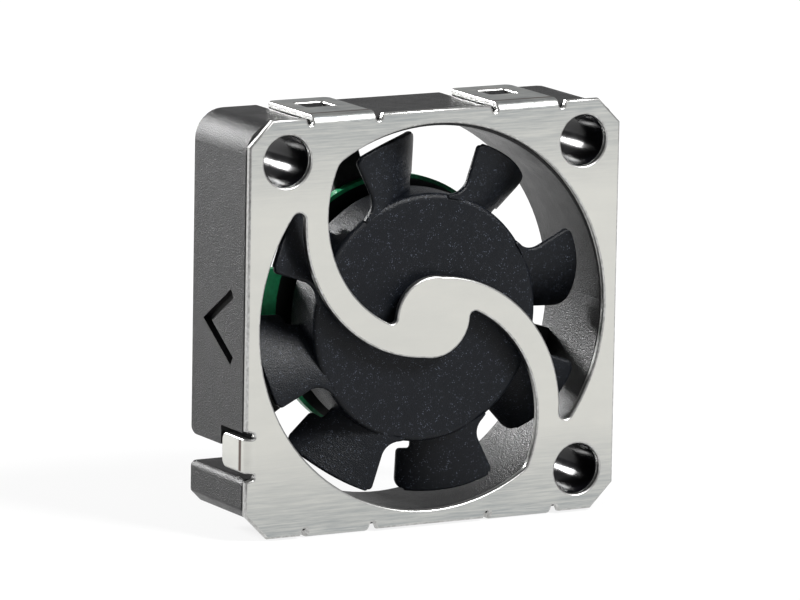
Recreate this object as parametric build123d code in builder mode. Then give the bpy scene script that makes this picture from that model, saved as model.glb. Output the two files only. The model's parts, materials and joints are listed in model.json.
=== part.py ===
"""A 25 mm brushless axial fan: pressed face plate, moulded frame, eight-blade impeller and its motor.

Millimetres. The fan stands upright on its lower tabs, +Z up, and blows towards +Y.
Depths are measured backward from the front of the face plate, along the fan axis.
"""

import os
from math import atan2, cos, radians, sin, sqrt, tan

from build123d import *

# Frame and mounting
frame_side = 25.0
hole_inset = 2.5
hole_radius = 1.55
duct_wall = 0.85
axis_drop = 0.2
housing_step = 0.23
corner_radius = 1.8
inlet_flare = 0.15
inlet_flare_depth = 0.4

# Pressed face plate
sheet = 0.45
plate_chamfer = 1.5
web_disc_radius = 2.48
web_arm_drop = 5.45
web_arm_width = 1.2
web_arm_shift_x = 0.25
web_arm_shift_z = 0.35
web_arm_offset = 0.1
knee_fillet = 1.0
tip_fillet = 0.45
notch_fillet = 0.35

# Tabs bent back from the plate's edges
tab_inset = 6.3
tab_width = 4.2
tab_length = 6.1
tab_proud = 0.15
tab_bend_inside = 0.12
tab_relief = 0.3
tab_corner = 0.5
window_width = 1.9
window_length = 1.8
window_rim = 1.35
guard_inset = 5.05
guard_width = 2.1
guard_length = 3.1

# Pockets, wedges and cable slot of the frame
pocket_clearance = 0.15
pocket_floor_gap = 0.35
wedge_clearance = 0.12
wedge_sink = 0.15
recess_clearance = 0.1
recess_above = 0.35
recess_floor_gap = 0.1
slot_drop = 0.45
slot_width = 1.4
slot_mouth = 0.6
slot_step = 1.0
slot_break = 0.2
slot_round = 0.7
foot_rise = 0.94
foot_chamfer = 1.03

# Motor, from the shaft outward
shaft_radius = 0.75
shaft_clearance = 0.03
bearing_wall = 0.72
tube_wall = 0.8
core_hub_wall = 0.8
arm_length = 1.5
shoe_thickness = 0.6
air_gap = 0.3
magnet_wall = 1.15
yoke_sheet = 0.4
hub_side = 0.45
hub_bevel = 0.25
board_margin = 0.5
flange_inset = 0.6

# Motor, from the plate backward
front_gap = 0.55
hub_wall = 0.5
winding_gap = 0.25
coil_build = 0.5
insulator_sheet = 0.25
core_length = 1.5
board_gap = 0.35
chip_height = 0.5
rotor_gap = 0.3
yoke_overhang = 0.7
magnet_inset = 0.1
board_sheet = 0.6
flange_length = 1.0

# Bearing details
shaft_skin = 0.25
boss_wall = 0.85
boss_rise = 0.3
boss_gap = 0.2
tube_floor_wall = 0.35
thrust_sheet = 0.2
thrust_clearance = 0.05
shaft_end_play = 0.03
shaft_tip_land = 0.15
clip_sheet = 0.15
clip_depth = 0.2
clip_rim = 0.45
clip_mouth = 0.7
bearing_play = 0.2
bearing_chamfer = 0.12
ring_sheet = 0.3
ring_clearance = 0.2

# Blades
blade_count = 8
blade_first_angle = 11.6
blade_span_angle = 29.0
blade_sheet = 0.42
blade_camber = 0.11
blade_setback = 0.05
blade_root_sink = 0.25
tip_gap = 0.8
blade_corner = 0.35
blade_notch_rise = 0.85
blade_notch_depth = 0.5

# Struts from the motor base to the frame, by the angle seen from the front
strut_angles = (108.0, -17.0, 213.0)
strut_width = 2.2
strut_sink = 0.3

# Stator and board details
pole_count = 4
arm_width = 1.6
shoe_span = 72.0
flange_span = 52.0
coil_clearance = 0.05
coil_corner = 0.4
lobe_radius = 0.45
pin_width = 0.4
pin_sink = 0.3
pin_clearance = 0.03
board_tongue_length = 1.3
board_tongue_bottom = -1.2
board_tongue_top = 2.8
board_notch = 0.25
board_notch_heights = (0.75, 1.65)
chip_width = 1.8
chip_depth = 1.4
passive_length = 1.0
passive_width = 0.5
passive_height = 0.4
chip_angle = 45.0
capacitor_angle = 135.0
resistor_angle = 315.0

# Depths
hub_front = sheet + front_gap
yoke_front = hub_front + hub_wall
yoke_floor = yoke_front + yoke_sheet
coil_front = yoke_floor + winding_gap
insulator_front = coil_front + coil_build
core_front = insulator_front + insulator_sheet
core_back = core_front + core_length
insulator_back = core_back + insulator_sheet
coil_back = insulator_back + coil_build
board_front = coil_back + board_gap
board_back = board_front + board_sheet
yoke_back = board_front - chip_height - rotor_gap
hub_back = yoke_back - yoke_overhang
frame_depth = board_back + flange_length

boss_back = yoke_floor + boss_rise
tube_front = boss_back + boss_gap
tube_floor = frame_depth - tube_floor_wall
thrust_front = tube_floor - thrust_sheet
shaft_front = hub_front + shaft_skin
shaft_back = thrust_front - shaft_end_play
clip_back = shaft_back - shaft_tip_land
clip_front = clip_back - clip_sheet
bearing_back = clip_front - bearing_play
bearing_front = tube_front + ring_sheet

# Radii
bearing_bore = shaft_radius + shaft_clearance
bearing_radius = bearing_bore + bearing_wall
tube_radius = bearing_radius + tube_wall
core_hub_radius = tube_radius + core_hub_wall
shoe_radius = core_hub_radius + arm_length
core_radius = shoe_radius + shoe_thickness
magnet_bore = core_radius + air_gap
magnet_radius = magnet_bore + magnet_wall
yoke_radius = magnet_radius + yoke_sheet
hub_radius = yoke_radius + hub_side
boss_radius = shaft_radius + boss_wall
board_radius = hub_radius + board_margin
flange_radius = board_radius - flange_inset
clip_bore = shaft_radius - clip_depth
duct_radius = frame_side / 2 - duct_wall
opening_radius = duct_radius
blade_tip_radius = duct_radius - tip_gap

# Heights and places
tab_bend = tab_bend_inside + sheet
tab_reach = frame_side / 2 + tab_proud
guard_reach = frame_side / 2
housing_half_height = frame_side / 2 - housing_step
hole_offset = frame_side / 2 - hole_inset
tab_centre = frame_side / 2 - tab_inset
guard_centre = guard_inset - frame_side / 2
slot_centre = guard_centre - slot_drop
front_y = -frame_depth / 2
pole_angles = [360 / pole_count * index for index in range(pole_count)]
between_poles = [angle + 180 / pole_count for angle in pole_angles]
hole_places = ((-hole_offset, hole_offset), (hole_offset, hole_offset), (hole_offset, -hole_offset))

plate_centre = Vector(0, front_y, tab_reach)
centre = plate_centre - Vector(0, 0, axis_drop)
fan_axis = Axis(tuple(centre), (0, 1, 0))
upward = Vector(0, 0, 1)
downward = Vector(0, 0, -1)
leftward = Vector(-1, 0, 0)


def facing(depth, origin=centre):
    """The plane at a depth, seen from the front: local x is +X and local y is up."""
    return Plane(origin=origin + Vector(0, depth, 0), x_dir=(1, 0, 0), z_dir=(0, -1, 0))


def section(outward, shift=0.0, origin=centre):
    """A section along the axis: local x is the depth and local y points outward from the origin."""
    normal = Vector(0, 1, 0).cross(outward)
    return Plane(origin=origin + normal * shift, x_dir=(0, 1, 0), z_dir=normal)


def radial(angle):
    """The unit vector from the axis at an angle, counted from +X towards +Z."""
    return Vector(cos(radians(angle)), 0, sin(radians(angle)))


# One comma-shaped opening of the face plate, bounded by the centre disc and the two curved arms
arm_rise = opening_radius - web_arm_drop
arm_outer_radius = arm_rise - web_arm_offset / 2 + web_disc_radius
arm_inner_radius = arm_outer_radius - web_arm_width
arm_outer_place = (-web_arm_offset, arm_rise)
arm_inner_place = (web_arm_shift_x, arm_rise + web_arm_shift_z)

with BuildSketch() as web_arm:
    with Locations(arm_outer_place):
        Circle(arm_outer_radius)
    with Locations(arm_inner_place):
        Circle(arm_inner_radius, mode=Mode.SUBTRACT)
    Rectangle(frame_side, 2 * frame_side, align=(Align.MIN, Align.CENTER), mode=Mode.SUBTRACT)

with BuildSketch() as web_openings:
    Circle(opening_radius)
    Circle(web_disc_radius, mode=Mode.SUBTRACT)
    add(web_arm.sketch, mode=Mode.SUBTRACT)
    add(web_arm.sketch, rotation=180, mode=Mode.SUBTRACT)

with BuildSketch() as comma:
    add(web_openings.faces().sort_by(Axis.Y)[-1])
    fillet(comma.vertices().sort_by(Axis.X)[-1], tip_fillet)
    fillet(comma.vertices().sort_by(Axis.X)[1], notch_fillet)
    fillet(comma.vertices().sort_by(Axis.X)[0], knee_fillet)


# Places of the tabs: outward direction, shift along the edge, reach, length, width and window
edge_tabs = [(way, side * tab_centre) for way in (upward, downward) for side in (-1, 1)]


def bent_tab(outward, shift, reach, length, width):
    """A tab of the plate's own sheet, freed by two relief notches and bent back through a right angle."""
    plane = section(outward, shift, plate_centre)
    root = reach - tab_bend
    with BuildSketch(plane) as relief:
        with Locations((0, root)):
            Rectangle(sheet, tab_bend + sheet, align=(Align.MIN, Align.MIN))
    extrude(relief.sketch, amount=width / 2 + tab_relief, both=True, mode=Mode.SUBTRACT)
    with BuildSketch(plane) as strip:
        with BuildLine():
            CenterArc((tab_bend, root), tab_bend, 90, 90)
            CenterArc((tab_bend, root), tab_bend_inside, 90, 90)
            Polyline((tab_bend, reach), (length, reach), (length, reach - sheet), (tab_bend, reach - sheet))
            Line((0, root), (sheet, root))
        make_face()
    extrude(strip.sketch, amount=width / 2, both=True)


def tab_corners(plate, outward, shift, reach, length, width):
    """The short edges at the free corners of a tab."""
    plane = section(outward, shift, plate_centre)
    ends = [plane.from_local_coords((length, reach - sheet / 2, side * width / 2)) for side in (-1, 1)]
    return [plate.edges().sort_by_distance(end)[0] for end in ends]


with BuildPart() as front_plate:
    with BuildSketch(facing(0, plate_centre)) as blank:
        Rectangle(frame_side, frame_side)
        chamfer(blank.vertices(), plate_chamfer)
        with Locations(*hole_places):
            Circle(hole_radius, mode=Mode.SUBTRACT)
        add(comma.sketch, mode=Mode.SUBTRACT)
        add(comma.sketch, rotation=180, mode=Mode.SUBTRACT)
    extrude(amount=-sheet)
    for way, shift in edge_tabs:
        bent_tab(way, shift, tab_reach, tab_length, tab_width)
        with BuildSketch(section(way, shift, plate_centre)):
            with Locations((tab_length - window_rim - window_length / 2, tab_reach - sheet / 2)):
                Rectangle(window_length, 2 * sheet)
        extrude(amount=window_width / 2, both=True, mode=Mode.SUBTRACT)
    bent_tab(leftward, guard_centre, guard_reach, guard_length, guard_width)
    for way, shift in edge_tabs:
        fillet(tab_corners(front_plate, way, shift, tab_reach, tab_length, tab_width), tab_corner)
    fillet(tab_corners(front_plate, leftward, guard_centre, guard_reach, guard_length, guard_width), tab_corner)


# Moulded frame: duct, mounting bores, motor base on three struts, bearing tube and snap wedges
def edge_cut(outward, shift, width, floor, depth_from, depth_to):
    """A straight cut into one side of the frame, from a floor outward."""
    with BuildSketch(section(outward, shift, plate_centre)) as cut:
        with Locations((depth_from, floor)):
            Rectangle(depth_to - depth_from, frame_side / 2, align=(Align.MIN, Align.MIN))
    extrude(cut.sketch, amount=width / 2, both=True, mode=Mode.SUBTRACT)


pocket_floor = tab_reach - sheet - pocket_floor_gap
wedge_front = tab_length - window_rim - window_length + wedge_clearance
wedge_back = tab_length - window_rim - wedge_clearance
recess_floor = guard_reach - sheet - recess_floor_gap
recess_length = guard_length + recess_clearance
recess_top = guard_centre + guard_width / 2 + recess_above
recess_bottom = guard_centre - guard_width / 2 - recess_clearance
recess_width = recess_top - recess_bottom
slot_top = slot_centre + slot_width / 2
slot_bottom = slot_centre - slot_width / 2
slot_inner = slot_break - sqrt(duct_radius**2 - (slot_bottom + axis_drop) ** 2)
slot_front_width = slot_width + slot_step
foot_bottom = foot_rise - housing_half_height
foot_edge = foot_bottom + foot_chamfer
foot_end = -tab_centre - tab_width / 2 - pocket_clearance

with BuildPart() as housing:
    with BuildSketch(facing(sheet, plate_centre)):
        RectangleRounded(frame_side, 2 * housing_half_height, corner_radius)
        with Locations(*hole_places):
            Circle(hole_radius, mode=Mode.SUBTRACT)
    extrude(amount=sheet - frame_depth)
    with BuildSketch(facing(sheet)):
        Circle(duct_radius)
    extrude(amount=sheet - frame_depth, mode=Mode.SUBTRACT)

    # Flared inlet edge
    with BuildSketch(section(upward)):
        with BuildLine():
            Polyline(
                (sheet, 0),
                (sheet, duct_radius + inlet_flare),
                (sheet + inlet_flare_depth, duct_radius),
                (sheet + inlet_flare_depth, 0),
                close=True,
            )
        make_face()
    revolve(axis=fan_axis, mode=Mode.SUBTRACT)

    # Motor base and struts
    with BuildSketch(facing(board_back)):
        Circle(flange_radius)
        for angle in strut_angles:
            with Locations(Rotation(0, 0, angle)):
                Rectangle(duct_radius + strut_sink, strut_width, align=(Align.MIN, Align.CENTER))
    extrude(amount=-flange_length)

    # Bearing tube, blind from the front
    with BuildSketch(facing(tube_front)):
        Circle(tube_radius)
    extrude(amount=tube_front - board_back)
    with BuildSketch(facing(tube_front)):
        Circle(bearing_radius)
    extrude(amount=tube_front - tube_floor, mode=Mode.SUBTRACT)

    # Pockets for the tabs, open at the back, each with its snap wedge
    for way, shift in edge_tabs:
        edge_cut(way, shift, tab_width + 2 * pocket_clearance, pocket_floor, sheet, frame_depth)
        with BuildSketch(section(way, shift, plate_centre)):
            with BuildLine():
                Polyline(
                    (wedge_front, pocket_floor - wedge_sink),
                    (wedge_front, pocket_floor + wedge_sink),
                    (wedge_back, tab_reach - wedge_clearance),
                    (wedge_back, pocket_floor - wedge_sink),
                    close=True,
                )
            make_face()
        extrude(amount=window_width / 2 - wedge_clearance, both=True)

    # Recess for the guard tab and the cable slot behind it, which stays open at the back
    edge_cut(leftward, recess_bottom + recess_width / 2, recess_width, recess_floor, sheet, recess_length)
    with BuildSketch(facing(sheet, plate_centre)):
        with BuildLine():
            Polyline(
                (slot_inner, slot_bottom),
                (slot_mouth - frame_side / 2, slot_bottom),
                (-frame_side / 2, slot_bottom - slot_mouth),
                (-frame_side, slot_bottom - slot_mouth),
                (-frame_side, slot_top),
                (slot_inner, slot_top),
                close=True,
            )
        make_face()
    extrude(amount=sheet - frame_depth, mode=Mode.SUBTRACT)
    edge_cut(leftward, slot_bottom + slot_front_width / 2, slot_front_width, -slot_inner, sheet, recess_length)
    slot_corner = plate_centre + Vector(-frame_side / 2, frame_depth, slot_top)
    fillet(housing.edges().filter_by(Axis.X).sort_by_distance(slot_corner)[0], slot_round)

    # Lower left corner, cut back under the slot
    with BuildSketch(facing(sheet, plate_centre)):
        with BuildLine():
            Polyline(
                (-frame_side / 2, foot_edge),
                (foot_chamfer - frame_side / 2, foot_bottom),
                (foot_end, foot_bottom),
                (foot_end, -frame_side),
                (-frame_side, -frame_side),
                (-frame_side, foot_edge),
                close=True,
            )
        make_face()
    extrude(amount=sheet - frame_depth, mode=Mode.SUBTRACT)


# Blade: two curved sections lofted outward, then trimmed to the hub and to the tip's corners
blade_front = hub_front + blade_setback
blade_root = hub_radius - blade_root_sink
half_span = radians(blade_span_angle / 2)


def blade_plane(distance):
    """The plane of a blade section, square to the blade's middle radius."""
    outward = radial(blade_first_angle)
    around = radial(blade_first_angle + 90)
    middle = centre + outward * distance + Vector(0, (blade_front + hub_back) / 2, 0)
    return Plane(origin=middle, x_dir=around, z_dir=outward)


def camber_line(distance):
    """Three points of a section's middle line, from its leading edge over the crown to its trailing edge."""
    half_width = distance * tan(half_span) - blade_sheet / 2
    half_rise = (hub_back - blade_front - blade_sheet) / 2
    pitch = atan2(half_rise, half_width)
    bulge = blade_camber * 2 * half_width / cos(pitch)
    crown = (-bulge * sin(pitch), bulge * cos(pitch))
    return (half_width, half_rise), crown, (-half_width, -half_rise)


section_distances = (blade_root * cos(half_span), blade_tip_radius)

with BuildPart() as blade_envelope:
    with BuildSketch(section(upward)) as envelope_profile:
        with Locations((blade_front, blade_root)):
            Rectangle(hub_back - blade_front, blade_tip_radius - blade_root, align=(Align.MIN, Align.MIN))
        chamfer(envelope_profile.vertices().group_by(Axis.Y)[-1], blade_corner)
        with Locations((hub_back, hub_radius + blade_notch_rise)):
            Rectangle(blade_notch_depth, hub_radius, align=(Align.MAX, Align.MAX), mode=Mode.SUBTRACT)
    revolve(axis=fan_axis)

with BuildPart() as blade:
    for distance in section_distances:
        with BuildSketch(blade_plane(distance)):
            with BuildLine():
                ThreePointArc(*camber_line(distance))
            trace(line_width=blade_sheet)
    loft(ruled=True)
    add(blade_envelope.part, mode=Mode.INTERSECT)

# Impeller: cup-shaped hub with an inner boss for the shaft, and its ring of blades
with BuildPart() as impeller:
    with BuildSketch(section(upward)):
        with BuildLine():
            Polyline(
                (shaft_front, 0),
                (hub_front, 0),
                (hub_front, hub_radius - hub_bevel),
                (hub_front + hub_bevel, hub_radius),
                (hub_back, hub_radius),
                (hub_back, yoke_radius),
                (yoke_front, yoke_radius),
                (yoke_front, boss_radius),
                (boss_back, boss_radius),
                (boss_back, shaft_radius),
                (shaft_front, shaft_radius),
                close=True,
            )
        make_face()
    revolve(axis=fan_axis)
    for index in range(blade_count):
        add(blade.part.rotate(fan_axis, 360 / blade_count * index))

# Rotor: steel yoke cup, ring magnet, shaft and its retaining clip
with BuildPart() as rotor_yoke:
    with BuildSketch(section(upward)):
        with BuildLine():
            Polyline(
                (yoke_front, boss_radius),
                (yoke_front, yoke_radius),
                (yoke_back, yoke_radius),
                (yoke_back, magnet_radius),
                (yoke_floor, magnet_radius),
                (yoke_floor, boss_radius),
                close=True,
            )
        make_face()
    revolve(axis=fan_axis)

with BuildPart() as ring_magnet:
    with BuildSketch(facing(yoke_floor)):
        Circle(magnet_radius)
        Circle(magnet_bore, mode=Mode.SUBTRACT)
    extrude(amount=yoke_floor - yoke_back + magnet_inset)

with BuildPart() as shaft:
    with BuildSketch(section(upward)):
        with BuildLine():
            Polyline(
                (shaft_front, 0),
                (shaft_front, shaft_radius),
                (clip_front, shaft_radius),
                (clip_front, clip_bore),
                (clip_back, clip_bore),
                (clip_back, shaft_radius),
                (shaft_back, clip_bore),
                (shaft_back, 0),
                close=True,
            )
        make_face()
    revolve(axis=fan_axis)

with BuildPart() as shaft_clip:
    with BuildSketch(facing(clip_front)):
        Circle(clip_bore + clip_rim)
        Circle(clip_bore, mode=Mode.SUBTRACT)
        Rectangle(clip_bore + 2 * clip_rim, clip_mouth, align=(Align.MIN, Align.CENTER), mode=Mode.SUBTRACT)
    extrude(amount=-clip_sheet)

# Bearing: sintered sleeve, oil ring in front of it and thrust plate under the shaft's tip
with BuildPart() as sleeve_bearing:
    with BuildSketch(section(upward)) as bearing_profile:
        with Locations((bearing_front, bearing_bore)):
            Rectangle(bearing_back - bearing_front, bearing_wall, align=(Align.MIN, Align.MIN))
        chamfer(bearing_profile.vertices().group_by(Axis.Y)[0], bearing_chamfer)
    revolve(axis=fan_axis)

with BuildPart() as oil_ring:
    with BuildSketch(facing(tube_front)):
        Circle(bearing_radius)
        Circle(shaft_radius + ring_clearance, mode=Mode.SUBTRACT)
    extrude(amount=-ring_sheet)

with BuildPart() as thrust_plate:
    with BuildSketch(facing(thrust_front)):
        Circle(bearing_radius - thrust_clearance)
    extrude(amount=-thrust_sheet)


# Stator: laminated core, two insulators and one coil on each arm
def ring_sector(inner_radius, outer_radius, angle, span):
    """A sketch of part of a ring, centred on an angle."""
    reach = outer_radius / cos(radians(span / 2))
    with BuildSketch(mode=Mode.PRIVATE) as sector:
        Circle(outer_radius)
        Circle(inner_radius, mode=Mode.SUBTRACT)
        start = radians(angle - span / 2)
        end = radians(angle + span / 2)
        corners = [(0, 0), (reach * cos(start), reach * sin(start)), (reach * cos(end), reach * sin(end))]
        Polygon(*corners, align=None, mode=Mode.INTERSECT)
    return sector.sketch


def pole_sketch(arm, shoe_from, shoe_to, span):
    """The hub ring, arms and curved ends that the core and its insulators share."""
    with BuildSketch(mode=Mode.PRIVATE) as poles:
        Circle(core_hub_radius)
        for angle in pole_angles:
            with Locations(Rotation(0, 0, angle)):
                Rectangle((shoe_from + shoe_to) / 2, arm, align=(Align.MIN, Align.CENTER))
            add(ring_sector(shoe_from, shoe_to, angle, span))
        Circle(tube_radius, mode=Mode.SUBTRACT)
    return poles.sketch


with BuildPart() as stator_core:
    with BuildSketch(facing(core_front)):
        add(pole_sketch(arm_width, shoe_radius, core_radius, shoe_span))
    extrude(amount=-core_length)

insulated_arm = arm_width + 2 * insulator_sheet
arm_middle = (core_front + core_back) / 2
skirt_length = sqrt(shoe_radius**2 - (insulated_arm / 2) ** 2) - core_hub_radius


def arm_skirts(face_depth, direction):
    """Thin walls along both sides of each arm, from an insulator's face to the middle of the core."""
    with BuildSketch(facing(face_depth)) as skirts:
        for angle in pole_angles:
            with Locations(Rotation(0, 0, angle)):
                with Locations((core_hub_radius, 0)):
                    Rectangle(skirt_length, insulated_arm, align=(Align.MIN, Align.CENTER))
                    Rectangle(arm_length, arm_width, align=(Align.MIN, Align.CENTER), mode=Mode.SUBTRACT)
    extrude(skirts.sketch, amount=direction * core_length / 2)


with BuildPart() as front_insulator:
    with BuildSketch(facing(insulator_front)):
        add(pole_sketch(insulated_arm, shoe_radius, core_radius, flange_span))
    extrude(amount=-insulator_sheet)
    arm_skirts(core_front, -1)

lobe_place = core_hub_radius + lobe_radius

with BuildPart() as rear_insulator:
    with BuildSketch(facing(core_back)):
        add(pole_sketch(insulated_arm, shoe_radius, core_radius, flange_span))
    extrude(amount=-insulator_sheet)
    arm_skirts(core_back, 1)
    with BuildSketch(facing(core_back)):
        for angle in between_poles:
            with Locations(Rotation(0, 0, angle)):
                Rectangle(lobe_place, 2 * lobe_radius, align=(Align.MIN, Align.CENTER))
                with Locations((lobe_place, 0)):
                    Circle(lobe_radius)
        Circle(tube_radius, mode=Mode.SUBTRACT)
    extrude(amount=core_back - board_front)
    with BuildSketch(facing(board_front)):
        for angle in between_poles:
            with Locations(Rotation(0, 0, angle)):
                with Locations((lobe_place, 0)):
                    Rectangle(pin_width, pin_width)
    extrude(amount=pin_sink, mode=Mode.SUBTRACT)

coil_opening = insulated_arm + 2 * coil_clearance
coil_width = insulated_arm + 2 * coil_build
coil_height = coil_back - coil_front
coil_start = core_hub_radius + coil_clearance
coil_end = sqrt(shoe_radius**2 - (coil_width / 2) ** 2) - coil_clearance
coils = {}

for index, angle in enumerate(pole_angles):
    place = centre + radial(angle) * coil_start + Vector(0, arm_middle, 0)
    with BuildPart() as coil:
        with BuildSketch(Plane(origin=place, x_dir=radial(angle + 90), z_dir=radial(angle))):
            RectangleRounded(coil_width, coil_height, coil_corner)
            Rectangle(coil_opening, coil_height - 2 * coil_build + 2 * coil_clearance, mode=Mode.SUBTRACT)
        extrude(amount=coil_end - coil_start)
    coils[f"coil_{index + 1}"] = coil

# Circuit board with edge notches, its components and the winding pins
chip_place = (magnet_bore + magnet_radius) / 2
tongue_end = board_radius + board_tongue_length


def board_part(angle, length, width, height):
    """A small component that stands on the front of the board, under the magnet."""
    with BuildSketch(facing(board_front)) as outline:
        with Locations(Rotation(0, 0, angle)):
            with Locations((chip_place, 0)):
                Rectangle(width, length)
    extrude(outline.sketch, amount=height)


with BuildPart() as circuit_board:
    with BuildSketch(facing(board_front)):
        Circle(board_radius)
        with Locations((0, board_tongue_bottom)):
            Rectangle(tongue_end, board_tongue_top - board_tongue_bottom, align=(Align.MAX, Align.MIN))
        Circle(tube_radius, mode=Mode.SUBTRACT)
        for height in board_notch_heights:
            with Locations((-tongue_end, height)):
                Circle(board_notch, mode=Mode.SUBTRACT)
        for angle in between_poles:
            with Locations(Rotation(0, 0, angle)):
                with Locations((lobe_place, 0)):
                    Circle(pin_width / sqrt(2) + pin_clearance, mode=Mode.SUBTRACT)
    extrude(amount=-board_sheet)

with BuildPart() as driver_chip:
    board_part(chip_angle, chip_width, chip_depth, chip_height)

with BuildPart() as chip_capacitor:
    board_part(capacitor_angle, passive_length, passive_width, passive_height)

with BuildPart() as chip_resistor:
    board_part(resistor_angle, passive_length, passive_width, passive_height)

with BuildPart() as winding_pins:
    with BuildSketch(facing(board_front - pin_sink)):
        for angle in between_poles:
            with Locations(Rotation(0, 0, angle)):
                with Locations((lobe_place, 0)):
                    Rectangle(pin_width, pin_width)
    extrude(amount=-pin_sink - board_sheet)

nodes = {
    "front_plate": front_plate,
    "housing": housing,
    "impeller": impeller,
    "rotor_yoke": rotor_yoke,
    "ring_magnet": ring_magnet,
    "shaft": shaft,
    "shaft_clip": shaft_clip,
    "sleeve_bearing": sleeve_bearing,
    "oil_ring": oil_ring,
    "thrust_plate": thrust_plate,
    "stator_core": stator_core,
    "front_insulator": front_insulator,
    "rear_insulator": rear_insulator,
    "circuit_board": circuit_board,
    "driver_chip": driver_chip,
    "chip_capacitor": chip_capacitor,
    "chip_resistor": chip_resistor,
    "winding_pins": winding_pins,
    **coils,
}

os.makedirs("parts", exist_ok=True)
for name, piece in nodes.items():
    piece.part.label = name
    export_step(piece.part, f"parts/{name}.step")
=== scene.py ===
"""Looks for the 25 mm axial fan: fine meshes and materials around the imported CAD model, in metres.

Depths are measured backward from the front of the face plate, and heights from the plate's middle.
"""

import json
from math import acos, asin, atan2, cos, hypot, pi, radians, sin, sqrt, tan

import bmesh
import bpy
from mathutils import Matrix, Vector


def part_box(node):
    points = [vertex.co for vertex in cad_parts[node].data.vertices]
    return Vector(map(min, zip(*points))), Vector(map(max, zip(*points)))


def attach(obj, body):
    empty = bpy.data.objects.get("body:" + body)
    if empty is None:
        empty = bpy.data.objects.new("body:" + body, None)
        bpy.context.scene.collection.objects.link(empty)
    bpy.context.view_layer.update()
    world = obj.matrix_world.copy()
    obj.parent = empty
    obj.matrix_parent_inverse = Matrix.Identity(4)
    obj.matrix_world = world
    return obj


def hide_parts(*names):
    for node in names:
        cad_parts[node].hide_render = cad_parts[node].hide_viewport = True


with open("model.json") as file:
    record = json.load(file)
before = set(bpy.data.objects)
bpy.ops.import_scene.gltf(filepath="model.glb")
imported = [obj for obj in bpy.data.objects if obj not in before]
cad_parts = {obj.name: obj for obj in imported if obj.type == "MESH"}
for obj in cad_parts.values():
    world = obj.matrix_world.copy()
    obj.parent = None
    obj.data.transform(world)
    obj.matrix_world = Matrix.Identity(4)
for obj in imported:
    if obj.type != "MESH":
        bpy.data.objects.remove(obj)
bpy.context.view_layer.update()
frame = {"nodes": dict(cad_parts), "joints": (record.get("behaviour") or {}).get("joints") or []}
nodes = frame["nodes"]
MM = 0.001

# Places read from the frame
plate_low, plate_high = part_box("front_plate")
middle = (plate_low + plate_high) / 2
front = plate_low.y
half_side = plate_high.x - middle.x
depth_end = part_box("housing")[1].y - front
axis_drop = middle.z - frame["joints"][0]["pos_m"][2]
fan_axis = (0, -axis_drop)

# Frame and plate sizes
hole_inset = 2.5 * MM
hole_radius = 1.55 * MM
sheet = 0.45 * MM
plate_rim = 0.12 * MM
plate_chamfer = 1.5 * MM
opening_radius = 11.65 * MM
web_disc_radius = 2.48 * MM
web_arm_drop = 5.45 * MM
web_arm_width = 1.2 * MM
web_arm_shift = (0.25 * MM, 0.35 * MM)
web_arm_offset = 0.1 * MM
knee_fillet = 1.0 * MM
tip_fillet = 0.45 * MM
notch_fillet = 0.35 * MM

# Tabs bent back from the plate
tab_centre = 6.2 * MM
tab_width = 4.2 * MM
tab_length = 6.1 * MM
tab_bend_inside = 0.12 * MM
tab_relief = 0.3 * MM
relief_mouth = 1.6
relief_round = 0.45
tab_corner = 0.5 * MM
window_width = 1.9 * MM
window_length = 1.8 * MM
window_rim = 1.35 * MM
window_corner = 0.15 * MM
guard_centre = -7.45 * MM
guard_width = 2.1 * MM
guard_length = 3.1 * MM

# Moulded frame
duct_radius = opening_radius
duct_lip = 0.12 * MM
housing_half_height = 12.27 * MM
corner_radius = 1.8 * MM
pocket_half_width = 2.25 * MM
pocket_floor = 11.85 * MM
wedge_front = 3.07 * MM
wedge_back = 4.63 * MM
wedge_half_width = 0.83 * MM
recess_floor = 11.95 * MM
recess_length = 3.2 * MM
recess_top = -6.05 * MM
recess_bottom = -8.6 * MM
slot_bottom = -8.85 * MM
slot_top = -7.2 * MM
slot_front_top = -6.2 * MM
foot_top_round = 0.4 * MM
slot_break = 0.2 * MM
slot_round = 0.7 * MM
foot_edge = -10.7 * MM
foot_bottom = -11.4 * MM
foot_round = 0.3 * MM
board_back = 6.1 * MM
flange_radius = 7.4 * MM
strut_angles = (108.0, -17.0, 213.0)
strut_width = 2.2 * MM
strut_start = 0.5
chevron_depths = (2.0 * MM, 5.1 * MM)
chevron_height = 2.02 * MM
chevron_width = 0.6 * MM
chevron_cut = 0.45 * MM

# Impeller
hub_radius = 7.5 * MM
hub_front = 1.0 * MM
hub_back = 4.0 * MM
hub_round = 0.35 * MM
yoke_radius = 7.05 * MM
yoke_front = 1.5 * MM
blade_count = 8
blade_first_angle = 12.0
blade_span_angle = 29.0
blade_sheet = 0.42 * MM
blade_camber = 0.11
blade_front = 1.05 * MM
blade_root = 7.3 * MM
blade_tip = 10.9 * MM
front_corner = 0.3 * MM
back_corner = 0.65 * MM
root_flare = 1.1 * MM
root_notch = 0.9 * MM
notch_rise = 0.85 * MM

# Finish and light
speck_cell = 0.11
# How far behind each bend the painted crease shade lies on the sheet steel
crease_shade_offset = 0.22 * MM
floor_half = 3.0
floor_glow = 0.85
world_light = 0.12
world_seen = 0.33

# The photograph's view
camera_turn = 0.5054925
camera_tilt = 0.1817999
camera_roll = 0.0172391
camera_distance = 473.19 * MM
camera_target = (-2.346 * MM, 1.232 * MM)
focal_pixels = 8000.0
image_width = 800.0
sensor_width = 36.0


def place(x, depth, height):
    """A point of the part from its distance to the right of the plate's middle, its depth and its height."""
    return Vector((middle.x + x, front + depth, middle.z + height))


# Outlines in the plane of the plate, as lists of (x, height)
def arc(centre, radius, start, end, steps):
    """Points along an arc, angles in radians."""
    turns = [start + (end - start) * i / steps for i in range(steps + 1)]
    return [(centre[0] + radius * cos(t), centre[1] + radius * sin(t)) for t in turns]


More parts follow.
